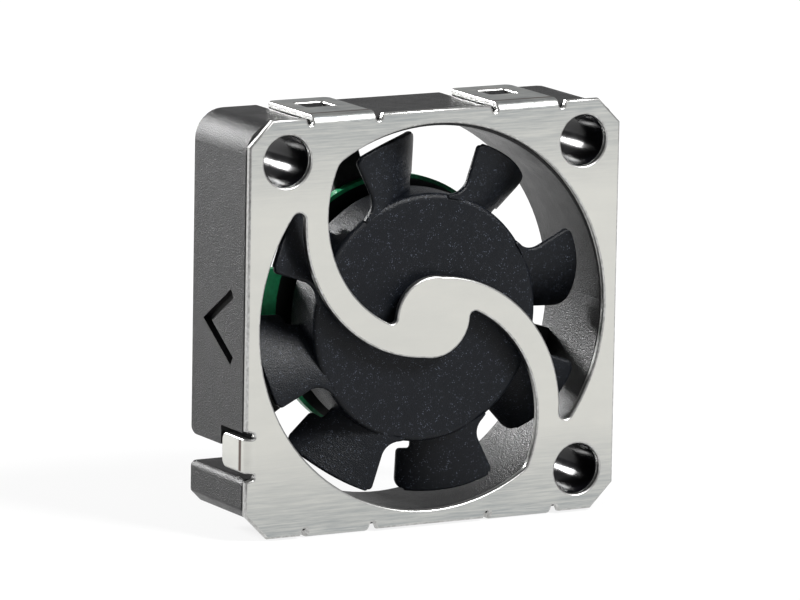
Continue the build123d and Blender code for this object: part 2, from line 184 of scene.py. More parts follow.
def circle(centre, radius, steps=96):
    """Points round a full circle."""
    return arc(centre, radius, 0, 2 * pi, steps)[:-1]


def rounded(points, radii, steps=8):
    """A closed outline with each corner rounded by its own radius."""
    out = []
    for i, (corner, radius) in enumerate(zip(points, radii)):
        if radius == 0:
            out.append(corner)
            continue
        here = Vector(corner)
        back = (Vector(points[i - 1]) - here).normalized()
        on = (Vector(points[(i + 1) % len(points)]) - here).normalized()
        half = acos(max(-1.0, min(1.0, back.dot(on)))) / 2
        centre = here + (back + on).normalized() * (radius / sin(half))
        first = here + back * (radius / tan(half)) - centre
        last = here + on * (radius / tan(half)) - centre
        start = atan2(first.y, first.x)
        opening = (atan2(last.y, last.x) - start + pi) % (2 * pi) - pi
        out += arc(centre, radius, start, start + opening, steps)
    return out


def turned(points, quarter_turns):
    """The outline turned about the axis by quarter turns."""
    for _ in range(quarter_turns):
        points = [(-y, x) for x, y in points]
    return points


def slab(name, outlines, depth_from, depth_to, rim):
    """A flat piece with rounded rims, filled between its outlines by the even-odd rule."""
    curve = bpy.data.curves.new(name, "CURVE")
    curve.dimensions = "2D"
    curve.fill_mode = "BOTH"
    for outline in outlines:
        spline = curve.splines.new("POLY")
        spline.points.add(len(outline) - 1)
        for point, (x, y) in zip(spline.points, outline):
            point.co = (x, y, 0, 1)
        spline.use_cyclic_u = True
    curve.extrude = (depth_to - depth_from) / 2 - rim
    curve.bevel_depth = rim
    curve.bevel_resolution = 3
    curve.offset = -rim
    holder = bpy.data.objects.new(name, curve)
    bpy.context.scene.collection.objects.link(holder)
    bpy.context.view_layer.update()
    mesh = bpy.data.meshes.new_from_object(holder.evaluated_get(bpy.context.evaluated_depsgraph_get()))
    bpy.data.objects.remove(holder)
    halfway = front + (depth_from + depth_to) / 2
    mesh.transform(Matrix(((1, 0, 0, middle.x), (0, 0, -1, halfway), (0, 1, 0, middle.z), (0, 0, 0, 1))))
    work = bmesh.new()
    work.from_mesh(mesh)
    bmesh.ops.remove_doubles(work, verts=work.verts, dist=1e-7)
    bmesh.ops.recalc_face_normals(work, faces=work.faces)
    work.normal_update()
    for face in work.faces:
        face.material_index = 0 if abs(face.normal.y) > 0.999 else 1
    work.to_mesh(mesh)
    work.free()
    return mesh


def show(name, mesh, body, replaces):
    """Makes a piece of the model from a mesh."""
    mesh.name = name
    piece = bpy.data.objects.new(name, mesh)
    bpy.context.scene.collection.objects.link(piece)
    for face in mesh.polygons:
        face.use_smooth = True
    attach(piece, body)
    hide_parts(replaces)
    return piece


def even_normals(piece, angle=40):
    """Faces square to the part's axes stay flat, and all others shade round."""
    piece.data.set_sharp_from_angle(angle=radians(angle))
    for face in piece.data.polygons:
        if max(abs(part) for part in face.normal) > 0.99995:
            face.use_smooth = False


# Face plate: its unfolded outline, then the tabs bent back
tab_bend = tab_bend_inside + sheet
tab_reach = plate_high.z - middle.z
neutral = tab_bend_inside + sheet / 2
bend_length = neutral * pi / 2
hole_offset = half_side - hole_inset
holes = [(x * hole_offset, y * hole_offset) for x, y in ((-1, 1), (1, 1), (1, -1))]


def unfolded(reach, depth):
    """The distance from the axis, in the flat sheet, of a point on a bent tab."""
    return reach - tab_bend + bend_length + depth - tab_bend


def tab_outline(shift, width, length, reach):
    """One tab on the plate's upper edge, from left to right, with the notches that free it."""
    root = reach - tab_bend
    end = unfolded(reach, length)
    left, right = shift - width / 2, shift + width / 2
    corners = [
        (left - relief_mouth * tab_relief, half_side),
        (left - tab_relief, root),
        (left, root),
        (left, end),
        (right, end),
        (right, root),
        (right + tab_relief, root),
        (right + relief_mouth * tab_relief, half_side),
    ]
    notch = tab_relief * relief_round
    radii = [0, notch, notch, tab_corner, tab_corner, notch, notch, 0]
    return corners, radii


def plate_blank():
    """The plate's outer outline with all tabs unfolded, clockwise from its upper left chamfer."""
    points, radii = [], []

    def edge(tabs, quarter_turns):
        """Adds one edge with its tabs, from chamfer to chamfer."""
        corners = [(chamfer_from, half_side)]
        rounds = [0]
        for shift, width, length, reach in tabs:
            outline, notches = tab_outline(shift, width, length, reach)
            corners += outline
            rounds += notches
        corners.append((-chamfer_from, half_side))
        rounds.append(0)
        points.extend(turned(corners, quarter_turns))
        radii.extend(rounds)

    chamfer_from = plate_chamfer - half_side
    snap_tabs = [(at, tab_width, tab_length, tab_reach) for at in (-tab_centre, tab_centre)]
    edge(snap_tabs, 0)
    edge([], 3)
    edge(snap_tabs, 2)
    edge([(guard_centre, guard_width, guard_length, half_side)], 1)
    return rounded(points, radii)


def crossing(a, radius_a, b, radius_b, side):
    """Where two circles meet, to the left (+1) or right (-1) of the way from a to b."""
    a, b = Vector(a), Vector(b)
    gap = (b - a).length
    along = (gap * gap + radius_a * radius_a - radius_b * radius_b) / (2 * gap)
    off = sqrt(max(radius_a * radius_a - along * along, 0))
    forward = (b - a) / gap
    return a + forward * along + Vector((-forward.y, forward.x)) * off * side


def sweep(centre, radius, start, end, turn):
    """Arc points from one point of a circle to another, turning anticlockwise (+1) or clockwise (-1)."""
    first = atan2(start[1] - centre[1], start[0] - centre[0])
    angle = (atan2(end[1] - centre[1], end[0] - centre[0]) - first) * turn % (2 * pi)
    return arc(centre, radius, first, first + angle * turn, max(3, int(angle / radians(3))))


def on_circle(centre, radius, towards):
    """The point of a circle on the line from its centre through another point."""
    out = Vector(towards) - Vector(centre)
    return Vector(centre) + out.normalized() * radius


def comma():
    """The plate's upper opening: inside the rim and the left arm, outside the disc and the right arm."""
    rise = opening_radius - web_arm_drop
    rim, rim_r = (0, 0), opening_radius
    low, low_r = (web_arm_offset, -rise), rise - web_arm_offset / 2 + web_disc_radius
    arm, arm_r = (web_arm_shift[0], rise + web_arm_shift[1]), low_r - web_arm_width
    disc, disc_r = (0, 0), web_disc_radius
    knee = crossing(rim, rim_r - knee_fillet, arm, arm_r - knee_fillet, 1)
    notch = crossing(arm, arm_r - notch_fillet, disc, disc_r + notch_fillet, -1)
    tip = crossing(rim, rim_r - tip_fillet, low, low_r + tip_fillet, 1)
    top = crossing(disc, disc_r, low, low_r, 1)
    out = sweep(rim, rim_r, on_circle(rim, rim_r, tip), on_circle(rim, rim_r, knee), 1)
    out += sweep(knee, knee_fillet, on_circle(rim, rim_r, knee), on_circle(arm, arm_r, knee), 1)
    out += sweep(arm, arm_r, on_circle(arm, arm_r, knee), on_circle(arm, arm_r, notch), 1)
    out += sweep(notch, notch_fillet, on_circle(arm, arm_r, notch), on_circle(disc, disc_r, notch), 1)
    out += sweep(disc, disc_r, on_circle(disc, disc_r, notch), top, -1)
    out += sweep(low, low_r, top, on_circle(low, low_r, tip), -1)
    out += sweep(tip, tip_fillet, on_circle(low, low_r, tip), on_circle(rim, rim_r, tip), 1)
    return [point for i, point in enumerate(out) if (Vector(point) - Vector(out[i - 1])).length > 1e-6]


def window(shift, reach, quarter_turns):
    """The window of a snap tab, in the flat sheet."""
    near = unfolded(reach, tab_length - window_rim - window_length)
    far = near + window_length
    left, right = shift - window_width / 2, shift + window_width / 2
    corners = [(left, near), (left, far), (right, far), (right, near)]
    return turned(rounded(corners, [window_corner] * 4), quarter_turns)


upper = comma()
outlines = [plate_blank(), upper, turned(upper, 2)]
outlines.extend(circle(hole, hole_radius) for hole in holes)
for shift in (-tab_centre, tab_centre):
    outlines += [window(shift, tab_reach, turns) for turns in (0, 2)]

plate_mesh = slab("face_plate", outlines, 0, sheet, plate_rim)


def bend_tab(mesh, outward, along, shift, width, reach):
    """Bends one tab of the flat sheet backward over its root."""
    root = reach - tab_bend
    work = bmesh.new()
    work.from_mesh(mesh)
    origin = Vector((middle.x, 0, middle.z))

    def of_tab(vertex):
        """Whether a point of the sheet lies on this tab, past its root."""
        at = vertex.co - origin
        return at.dot(outward) > root - 1e-6 and abs(at.dot(along) - shift) < width / 2 + tab_relief / 4

    for crease in [root + bend_length * i / 10 for i in range(11)]:
        near = [v for v in work.verts if of_tab(v)]
        faces = set(face for v in near for face in v.link_faces)
        edges = set(edge for face in faces for edge in face.edges)
        geometry = list(faces) + list(edges) + list(set(v for face in faces for v in face.verts))
        on_crease = origin + outward * crease
        bmesh.ops.bisect_plane(work, geom=geometry, plane_co=on_crease, plane_no=outward, dist=1e-7)
    for vertex in work.verts:
        if not of_tab(vertex):
            continue
        at = vertex.co - origin
        past = at.dot(outward) - root
        radius = tab_bend - (vertex.co.y - front)
        angle = min(max(past, 0) / neutral, pi / 2)
        reach_now = root + radius * sin(angle)
        depth = tab_bend - radius * cos(angle) + max(past - bend_length, 0)
        vertex.co += outward * (reach_now - at.dot(outward))
        vertex.co.y = front + depth
    work.to_mesh(mesh)
    work.free()


up, right_way = Vector((0, 0, 1)), Vector((1, 0, 0))
for shift in (-tab_centre, tab_centre):
    bend_tab(plate_mesh, up, right_way, shift, tab_width, tab_reach)
    bend_tab(plate_mesh, -up, right_way, shift, tab_width, tab_reach)
bend_tab(plate_mesh, -right_way, up, guard_centre, guard_width, half_side)
face_plate = show("face_plate", plate_mesh, "frame", "front_plate")
even_normals(face_plate)


# Moulded frame
def joined(meshes):
    """One mesh from several."""
    work = bmesh.new()
    for mesh in meshes:
        work.from_mesh(mesh)
    whole = bpy.data.meshes.new("joined")
    work.to_mesh(whole)
    work.free()
    return whole


def prism(corners, direction):
    """A closed solid from a flat outline of points, drawn out along a vector."""
    work = bmesh.new()
    base = work.faces.new([work.verts.new(corner) for corner in corners])
    drawn = bmesh.ops.extrude_face_region(work, geom=[base])["geom"]
    bmesh.ops.translate(work, verts=[v for v in drawn if isinstance(v, bmesh.types.BMVert)], vec=direction)
    bmesh.ops.recalc_face_normals(work, faces=work.faces)
    mesh = bpy.data.meshes.new("prism")
    work.to_mesh(mesh)
    work.free()
    return mesh


def cut(mesh, other, operation="DIFFERENCE"):
    """The mesh less the other mesh, or united with it."""
    base = bpy.data.objects.new("base", mesh)
    tool = bpy.data.objects.new("tool", other)
    for piece in (base, tool):
        bpy.context.scene.collection.objects.link(piece)
    knife = base.modifiers.new("cut", "BOOLEAN")
    knife.operation = operation
    knife.solver = "EXACT"
    knife.object = tool
    bpy.context.view_layer.update()
    result = bpy.data.meshes.new_from_object(base.evaluated_get(bpy.context.evaluated_depsgraph_get()))
    for piece in (base, tool):
        bpy.data.objects.remove(piece)
    return result


def housing_outline():
    """The frame's outline with its tab pockets, running through the cable slot and round the duct."""
    half, tall = half_side, housing_half_height
    points = [(half, -tall), (half, tall)]
    radii = [corner_radius, corner_radius]

    def pockets(tops, centres):
        """Adds the tab pockets of the upper (+1) or lower (-1) edge."""
        for centre in centres:
            towards = 1 if tops > 0 else -1
            first, last = centre + towards * pocket_half_width, centre - towards * pocket_half_width
            points.extend([(first, tops * tall), (first, tops * pocket_floor)])
            points.extend([(last, tops * pocket_floor), (last, tops * tall)])
            radii.extend([0, 0, 0, 0])

    pockets(1, (tab_centre, -tab_centre))
    points.append((-half, tall))
    radii.append(corner_radius)
    duct_top = pi - asin((slot_top + axis_drop) / duct_radius)
    duct_bottom = -pi - asin((slot_bottom + axis_drop) / duct_radius)
    duct = arc(fan_axis, duct_radius, duct_top, duct_bottom, 120)
    points.extend([(-half, slot_top)] + duct)
    radii.extend([0] + [0] * len(duct))
    foot_end = -tab_centre - pocket_half_width
    points.extend([(-half, slot_bottom), (-half, foot_edge)])
    points.extend([(foot_edge - foot_bottom - half, foot_bottom), (foot_end, foot_bottom)])
    radii.extend([foot_top_round, foot_round, foot_round, 0])
    pockets(-1, (-tab_centre, tab_centre))
    return rounded(points, radii)


frame_outlines = [housing_outline()] + [circle(hole, hole_radius) for hole in holes]
shell = slab("frame_shell", frame_outlines, sheet, depth_end, duct_lip)


def side_block(bottom, top, inner, depth_from, depth_to):
    """A block through the left wall, for cutting."""
    corners = [place(-half_side * 2, depth, height) for depth, height in
               ((depth_from, bottom), (depth_to, bottom), (depth_to, top), (depth_from, top))]
    return prism(corners, Vector((half_side * 2 + inner, 0, 0)))


slot_inner = slot_break - sqrt(duct_radius**2 - (slot_bottom + axis_drop) ** 2)
shell = cut(shell, side_block(recess_bottom, recess_top, -recess_floor, 0, recess_length))
shell = cut(shell, side_block(slot_bottom, slot_front_top, slot_inner, 0, recess_length))

# The rear corners on both sides of the slot, rounded
for height, way, radius in ((slot_top, 1, slot_round), (slot_bottom, -1, foot_round)):
    bend = arc((depth_end - radius, height + way * radius), radius, -way * pi / 2, 0, 8)
    past_face = height - way * 0.1 * radius
    corner = bend + [(depth_end + radius, height + way * radius), (depth_end + radius, past_face),
                     (depth_end - radius, past_face)]
    edge = [place(-2 * half_side, depth, at) for depth, at in corner]
    shell = cut(shell, prism(edge, Vector((2 * half_side + slot_inner, 0, 0))))

# Engraved direction mark on the left wall: two strokes that meet at the back
apex = Vector((chevron_depths[1], 0))
end = Vector((chevron_depths[0], chevron_height))
stroke = (end - apex).normalized()
across = Vector((-stroke.y, stroke.x)) * chevron_width / 2
tip_in, tip_out = apex.x + chevron_width / 2 / stroke.y, apex.x - chevron_width / 2 / stroke.y
mark = [
    (tip_in, 0),
    tuple(end - across),
    tuple(end + across),
    (tip_out, 0),
    ((end + across).x, -(end + across).y),
    ((end - across).x, -(end - across).y),
]
mark_corners = [place(-half_side - chevron_cut, depth, height) for depth, height in mark]
shell = cut(shell, prism(mark_corners, Vector((2 * chevron_cut, 0, 0))))

spider = slab("motor_base", [circle(fan_axis, flange_radius)], board_back, depth_end, duct_lip)
for angle in strut_angles:
    inner, outer, half = strut_start * flange_radius, duct_radius + duct_lip, strut_width / 2
    turn = Matrix.Rotation(radians(angle), 2)
    corners = ((inner, -half), (outer, -half), (outer, half), (inner, half))
    bar = [tuple(turn @ Vector(corner) + Vector(fan_axis)) for corner in corners]
    spider = cut(spider, slab("strut", [bar], board_back, depth_end, duct_lip), "UNION")
shell = cut(shell, spider, "UNION")
wedges = []
for shift in (-tab_centre, tab_centre):
    for way in (1, -1):
        corners = [(wedge_front, pocket_floor - duct_lip), (wedge_front, pocket_floor + duct_lip),
                   (wedge_back, tab_reach - duct_lip), (wedge_back, pocket_floor - duct_lip)]
        left = shift - wedge_half_width
        points = [place(left, depth, way * height) for depth, height in corners]
        wedges.append(prism(points, Vector((2 * wedge_half_width, 0, 0))))
moulded_frame = show("moulded_frame", joined([shell] + wedges), "frame", "housing")
even_normals(moulded_frame)
# The bolt holes' walls take the bore moulding, whose darker colour is painted shade inside the holes
for face in moulded_frame.data.polygons:
    face.material_index = 0
    for x, height in holes:
        outward = face.center - place(x, face.center.y - front, height)
        if outward.length < hole_radius + duct_lip / 2 and face.normal.dot(outward) < -0.5 * outward.length:
            face.material_index = 1


# Impeller: the hub turned from its profile, and the blades
def lathe(profile, steps=160):
    """A mesh turned about the fan axis from a closed profile of (depth, radius) points."""
    mesh = bpy.data.meshes.new("lathe")
    verts, faces = [], []
    for i in range(steps):
        angle = 2 * pi * i / steps
        verts += [place(radius * cos(angle), depth, radius * sin(angle) - axis_drop)
                  for depth, radius in profile]
    count = len(profile)
    for i in range(steps):
        for j in range(count - 1):
            a, b = i * count + j, (i + 1) % steps * count + j
            faces.append((a, b, b + 1, a + 1))
    mesh.from_pydata(verts, [], faces)
    work = bmesh.new()
    work.from_mesh(mesh)
    bmesh.ops.remove_doubles(work, verts=work.verts, dist=1e-7)
    bmesh.ops.recalc_face_normals(work, faces=work.faces)
    work.to_mesh(mesh)
    work.free()
    return mesh


def camber(distance, thickness, longer_front, longer_back, steps=20):
    """A closed section of a blade around its curved middle line, as (along the turn, depth) points."""
    half_width = distance * tan(radians(blade_span_angle / 2)) - blade_sheet / 2
    half_rise = (hub_back - blade_front - blade_sheet) / 2
    pitch = atan2(half_rise, half_width)
    chord = 2 * hypot(half_rise, half_width)
    bulge = blade_camber * 2 * half_width / cos(pitch)
    radius = (chord / 2) ** 2 / (2 * bulge) + bulge / 2
    reach = asin(chord / 2 / radius)
    front_end, back_end = reach + longer_front / radius, -reach - longer_back / radius
    outline = []
    for way, start, end in ((1, front_end, back_end), (-1, back_end, front_end)):
        r = radius + way * thickness / 2
        for i in range(steps + 1):
            t = start + (end - start) * i / steps
            outline.append((r * sin(t), r * cos(t)))
        for i in range(1, 8):
            turn = pi * i / 8
            side, on = way * cos(turn) * thickness / 2, -way * sin(turn) * thickness / 2
            outline.append((radius * sin(end) + side * sin(end) + on * cos(end),
                            radius * cos(end) + side * cos(end) - on * sin(end)))
    halfway = (blade_front + hub_back) / 2
    return [(x * cos(pitch) - (y - radius + bulge) * sin(pitch),
             halfway - x * sin(pitch) - (y - radius + bulge) * cos(pitch)) for x, y in outline]


def corner_cut(distance, radius):
    """How far a rounded corner draws an edge in, at a distance before its end."""
    return radius - sqrt(radius**2 - max(radius - distance, 0) ** 2)


def blade_mesh(angle):
    """One blade, straight outward from the hub, with a flared root and rounded tip corners."""
    near = hub_radius * cos(radians(blade_span_angle / 2))
    outward = Vector((cos(angle), sin(angle)))
    around = Vector((-sin(angle), cos(angle)))
    edge = blade_sheet * 0.25
    notch_radius = notch_rise / 3
    rings = []
    for share, thin in [(i / 48, 0) for i in range(49)] + [(1, 0.3), (1, 0.65), (1, 1)]:
        from_tip = (blade_tip - edge - blade_root) * (1 - share)
        from_hub = blade_tip - edge - from_tip - hub_radius
        beyond_notch = from_hub - notch_rise
        ahead = corner_cut(max(from_hub, 0), root_flare) - corner_cut(from_tip, front_corner)
        behind = -corner_cut(from_tip, back_corner)
        if beyond_notch < 0:
            behind -= root_notch - corner_cut(-beyond_notch, notch_radius)
        elif beyond_notch < notch_radius:
            behind -= corner_cut(beyond_notch, notch_radius)
        thickness = blade_sheet - 2 * edge * (1 - sqrt(1 - thin * thin))
        past = edge * thin
        ring = []
        root_section = camber(near, thickness, ahead, behind)
        tip_section = camber(blade_tip, thickness, ahead, behind)
        for inner, outer in zip(root_section, tip_section):
            du, dd, dz = outer[0] - inner[0], blade_tip - near, outer[1] - inner[1]
            a, b = du * du + dd * dd, 2 * (inner[0] * du + near * dd)
            radius = blade_tip - edge - from_tip + past
            t = (-b + sqrt(b * b - 4 * a * (inner[0] ** 2 + near**2 - radius * radius))) / (2 * a)
            flat = outward * (near + dd * t) + around * (inner[0] + du * t)
            ring.append(place(flat.x, inner[1] + dz * t, flat.y - axis_drop))
        rings.append(ring)
    count = len(rings[0])
    verts = [point for ring in rings for point in ring]
    faces = []
    for i in range(len(rings) - 1):
        for j in range(count):
            k = (j + 1) % count
            faces.append((i * count + j, i * count + k, (i + 1) * count + k, (i + 1) * count + j))
    faces.append(tuple(range(count)))
    faces.append(tuple(range((len(rings) - 1) * count, len(rings) * count)))
    mesh = bpy.data.meshes.new("blade")
    mesh.from_pydata(verts, [], faces)
    work = bmesh.new()
    work.from_mesh(mesh)
    bmesh.ops.recalc_face_normals(work, faces=work.faces)
    work.to_mesh(mesh)
    work.free()
    return mesh


hub_profile = [(hub_front, 0)]
hub_profile += [(hub_front + hub_round * (1 - cos(t)), hub_radius - hub_round * (1 - sin(t)))
                for t in [pi / 2 * i / 8 for i in range(9)]]
hub_profile += [(hub_back, hub_radius), (hub_back, yoke_radius), (yoke_front, yoke_radius), (yoke_front, 0)]
blades = [blade_mesh(radians(blade_first_angle + 360 / blade_count * i)) for i in range(blade_count)]
fan_wheel = show("fan_wheel", joined([lathe(hub_profile)] + blades), "rotor", "impeller")
even_normals(fan_wheel)


# Materials, with the sizes of their grain and the depths of their relief in millimetres
def material(name, base_color, roughness, metallic=0.0):
    """A new material with its node tree, and its main shader."""
    made = bpy.data.materials.new(name)
    made.use_nodes = True
    shader = made.node_tree.nodes["Principled BSDF"]
    shader.inputs["Base Color"].default_value = (*base_color, 1)
    shader.inputs["Roughness"].default_value = roughness
    shader.inputs["Metallic"].default_value = metallic
    return made, shader


def node(made, kind, **settings):
    """A new node of a material, with its input values by name."""
    new = made.node_tree.nodes.new(kind)
    for name, value in settings.items():
        if hasattr(new, name):
            setattr(new, name, value)
        else:
            new.inputs[name].default_value = value
    return new


def link(made, source, target):
    """Joins an output to an input."""
    made.node_tree.links.new(source, target)


def stretched(made, sizes):
    """Object coordinates counted in grains of the given sizes along X, Y and Z."""
    where = node(made, "ShaderNodeTexCoord")
    mapping = node(made, "ShaderNodeMapping")
    mapping.inputs["Scale"].default_value = [1 / (size * MM) for size in sizes]
    link(made, where.outputs["Object"], mapping.inputs["Vector"])
    return mapping.outputs["Vector"]


def noise(made, sizes, detail=2.0, roughness=0.5):
    """Soft noise from 0 to 1 in grains of the given sizes."""
    texture = node(made, "ShaderNodeTexNoise", Scale=1.0, Detail=detail, Roughness=roughness)
    link(made, stretched(made, sizes), texture.inputs["Vector"])
    return texture.outputs["Fac"]


def span(made, value, low, high, to_low, to_high):
    """A value moved from one range to another, held at its ends."""
    mapped = node(made, "ShaderNodeMapRange")
    for name, number in zip(("From Min", "From Max", "To Min", "To Max"), (low, high, to_low, to_high)):
        mapped.inputs[name].default_value = number
    link(made, value, mapped.inputs["Value"])
    return mapped.outputs["Result"]


def bump(made, shader, height, distance, strength=1.0):
    """Adds a height to a shader's normal, over any bump that it has."""
    raised = node(made, "ShaderNodeBump", Distance=distance * MM, Strength=strength)
    link(made, height, raised.inputs["Height"])
    before = shader.inputs["Normal"].links
    if before:
        link(made, before[0].from_socket, raised.inputs["Normal"])
    link(made, raised.outputs["Normal"], shader.inputs["Normal"])


def blend(made, factor, low, high):
    """A colour between two others, each a colour or a node's output."""
    mixed = node(made, "ShaderNodeMix", data_type="RGBA")
    for name, colour in (("A", low), ("B", high)):
        if isinstance(colour, bpy.types.NodeSocket):
            link(made, colour, mixed.inputs[name])
        else:
            mixed.inputs[name].default_value = (*colour, 1)
    link(made, factor, mixed.inputs["Factor"])
    return mixed.outputs["Result"]


def tint(made, shader, factor, low, high):
    """Sets the base colour between two colours."""
    link(made, blend(made, factor, low, high), shader.inputs["Base Color"])


def distance_from_axis(made):
    """The distance of a point from the fan's axis."""
    where = node(made, "ShaderNodeTexCoord")
    flat = node(made, "ShaderNodeMapping")
    flat.inputs["Scale"].default_value = (1, 0, 1)
    flat.inputs["Location"].default_value = (-middle.x, 0, axis_drop - middle.z)
    length = node(made, "ShaderNodeVectorMath", operation="LENGTH")
    link(made, where.outputs["Object"], flat.inputs["Vector"])
    link(made, flat.outputs["Vector"], length.inputs[0])
    return length.outputs["Value"]


def coordinate(made, name):
    """One of a point's coordinates, "X", "Y" or "Z"."""
    where = node(made, "ShaderNodeTexCoord")
    parts = node(made, "ShaderNodeSeparateXYZ")
    link(made, where.outputs["Object"], parts.inputs[0])
    return parts.outputs[name]


def combined(made, operation, first, second=None):
    """A calculation on one value or two; the second may be a number."""
    joint = node(made, "ShaderNodeMath", operation=operation)
    link(made, first, joint.inputs[0])
    if isinstance(second, float):
        joint.inputs[1].default_value = second
    elif second is not None:
        link(made, second, joint.inputs[1])
    return joint.outputs[0]


def distance_to(made, axis, position):
    """How far a point is from a position along one axis."""
    return combined(made, "ABSOLUTE", combined(made, "SUBTRACT", coordinate(made, axis), position))


def ripple(made, value, pitch):
    """A wave from 0 to 1 that repeats along a value."""
    wave = combined(made, "SINE", combined(made, "MULTIPLY", value, 2 * pi / (pitch * MM)))
    return span(made, wave, -1, 1, 0, 1)


def moulding(name, low, speck, grain, depth, roughness, gloss=0.5):
    """A grained moulded plastic with pale specks and faint clouds in its polish."""
    made, shader = material(name, low, roughness)
    shader.inputs["Specular IOR Level"].default_value = gloss
    dots = node(made, "ShaderNodeTexVoronoi", Scale=1.0)
    link(made, stretched(made, (speck_cell,) * 3), dots.inputs["Vector"])
    sparse = span(made, dots.outputs["Distance"], 0.12, 0.30, 1.0, 0.0)
    patches = span(made, noise(made, (0.35,) * 3), 0.46, 0.66, 0.0, 1.0)
    tint(made, shader, combined(made, "MULTIPLY", sparse, patches), low, speck)
    bump(made, shader, noise(made, (grain,) * 3, 3.0, 0.6), depth)
    polish = noise(made, (1.5,) * 3, 3.0, 0.6)
    link(made, span(made, polish, 0.3, 0.7, roughness - 0.06, roughness + 0.06), shader.inputs["Roughness"])
    return made


def metal(name, low, high, sizes, depth, roughness):
    """A metal with marks of the given sizes in its colour and surface."""
    made, shader = material(name, high, roughness, 1.0)
    marks = noise(made, sizes, 4.0, 0.6)
    tint(made, shader, span(made, marks, 0.3, 0.7, 0.0, 1.0), low, high)
    bump(made, shader, marks, depth)
    link(made, span(made, marks, 0.3, 0.7, roughness + 0.06, roughness - 0.04), shader.inputs["Roughness"])
    return made


def rolled_steel(name, warm, cool, roughness):
    """Bright sheet with fine marks along X, a painted reflection that makes it darker and cooler toward its
    upper and lower edges, and a painted shade line beside each bend.
    """
    made, shader = material(name, warm, roughness, 1.0)
    marks = noise(made, (2.4, 0.8, 0.10), 4.0, 0.65)
    clouds = noise(made, (3, 3, 1.2), 3.0, 0.6)
    # Painted reflection: the colour turns darker and cooler toward the upper and lower edges, and the marks
    # show only there
    painted_edge_reflection = span(made, distance_to(made, "Z", middle.z), 7 * MM, half_side, 0.0, 0.7)
    streaks_and_painted_reflection = combined(made, "MULTIPLY", span(made, marks, 0.35, 0.65, 0.0, 1.0), painted_edge_reflection)
    tone_and_painted_reflection = combined(made, "MULTIPLY", streaks_and_painted_reflection, 0.8)
    tone_and_painted_reflection = combined(made, "ADD", tone_and_painted_reflection, combined(made, "MULTIPLY", clouds, 0.2))
    tone_and_painted_reflection = combined(made, "ADD", tone_and_painted_reflection, combined(made, "MULTIPLY", painted_edge_reflection, 0.5))
    # Painted shade: a thin dark brown line at one depth behind each bend, for the shadow in the crease
    from_crease_shade = distance_to(made, "Y", front + tab_bend + crease_shade_offset)
    painted_crease_shade = span(made, from_crease_shade, 0.10 * MM, 0.22 * MM, 1.0, 0.0)
    tint(made, shader, painted_crease_shade, blend(made, tone_and_painted_reflection, warm, cool), (0.10, 0.07, 0.06))
    bump(made, shader, noise(made, (1.6, 0.6, 0.05), 4.0, 0.6), 0.004, 0.6)
    wear = noise(made, (0.9, 0.9, 0.3), 4.0, 0.7)
    link(made, span(made, wear, 0.3, 0.7, roughness - 0.06, roughness + 0.08), shader.inputs["Roughness"])
    return made


def banded(name, low, high, along, pitch, depth, roughness, metallic):
    """Layers or windings: bands at a pitch, along Y or out from the axis."""
    made, shader = material(name, high, roughness, metallic)
    value = distance_from_axis(made) if along == "out" else coordinate(made, along)
    bands = ripple(made, value, pitch)
    uneven = combined(made, "MULTIPLY", bands, span(made, noise(made, (0.4,) * 3), 0.3, 0.7, 0.7, 1.0))
    tint(made, shader, uneven, low, high)
    bump(made, shader, bands, depth)
    return made


def board_green(name):
    """Green lacquer on the board's rim, which the light reaches, and painted shade inside it: near black
    where the rotor's shadow falls.
    """
    lacquer = (0.028, 0.38, 0.155)
    made, shader = material(name, lacquer, 0.35)
    # Painted shade: inside 7.72 mm from the axis the lacquer is painted near black, for the rotor's shadow
    inner = span(made, distance_from_axis(made), 7.72 * MM, 7.78 * MM, 0.0, 1.0)
    weave = span(made, noise(made, (0.25,) * 3), 0.3, 0.7, 0.75, 1.0)
    tint(made, shader, combined(made, "MULTIPLY", inner, weave), (0.004, 0.006, 0.005), lacquer)
    bump(made, shader, noise(made, (0.3,) * 3), 0.01)
    return made


def chip_ends(name, body, ends):
    """A chip's body with bright tinned patches."""
    made, shader = material(name, body, 0.45)
    patches = noise(made, (0.15,) * 3)
    tint(made, shader, span(made, patches, 0.55, 0.6, 0.0, 1.0), body, ends)
    bump(made, shader, patches, 0.01)
    return made


def dressed(piece, *materials):
    """Gives a piece its materials, in the order of its faces' numbers."""
    numbers = [face.material_index for face in piece.data.polygons]
    piece.data.materials.clear()
    for made in materials:
        piece.data.materials.append(made)
    for face, number in zip(piece.data.polygons, numbers):
        face.material_index = min(number, len(materials) - 1)


# Sheet steel: a warm middle colour, and a cool dark colour for its clouds and its painted edge reflection
steel = rolled_steel("sheet_steel", (0.69, 0.685, 0.64), (0.34, 0.36, 0.365), 0.36)
rim_steel = metal("pressed_rim", (0.30, 0.30, 0.29), (0.60, 0.60, 0.59), (0.25, 0.12, 0.25), 0.008, 0.32)
dressed(face_plate, steel, rim_steel)
black = moulding("black_moulding", (0.006, 0.006, 0.0065), (0.025, 0.025, 0.027), 0.09, 0.05, 0.35, 0.30)
# Bore walls: a smoother moulding with a lower specular level, and a darker colour that is painted shade
# inside the holes
bore_black = moulding("bore_moulding", (0.003, 0.003, 0.004), (0.01, 0.01, 0.01), 0.2, 0.0005, 0.17, 0.12)
dressed(moulded_frame, black, bore_black)
blue_black = moulding("impeller_moulding", (0.002, 0.003, 0.005), (0.10, 0.115, 0.15),
                      0.08, 0.035, 0.36, 0.20)
dressed(fan_wheel, blue_black)
dressed(nodes["circuit_board"], board_green("board_green"))

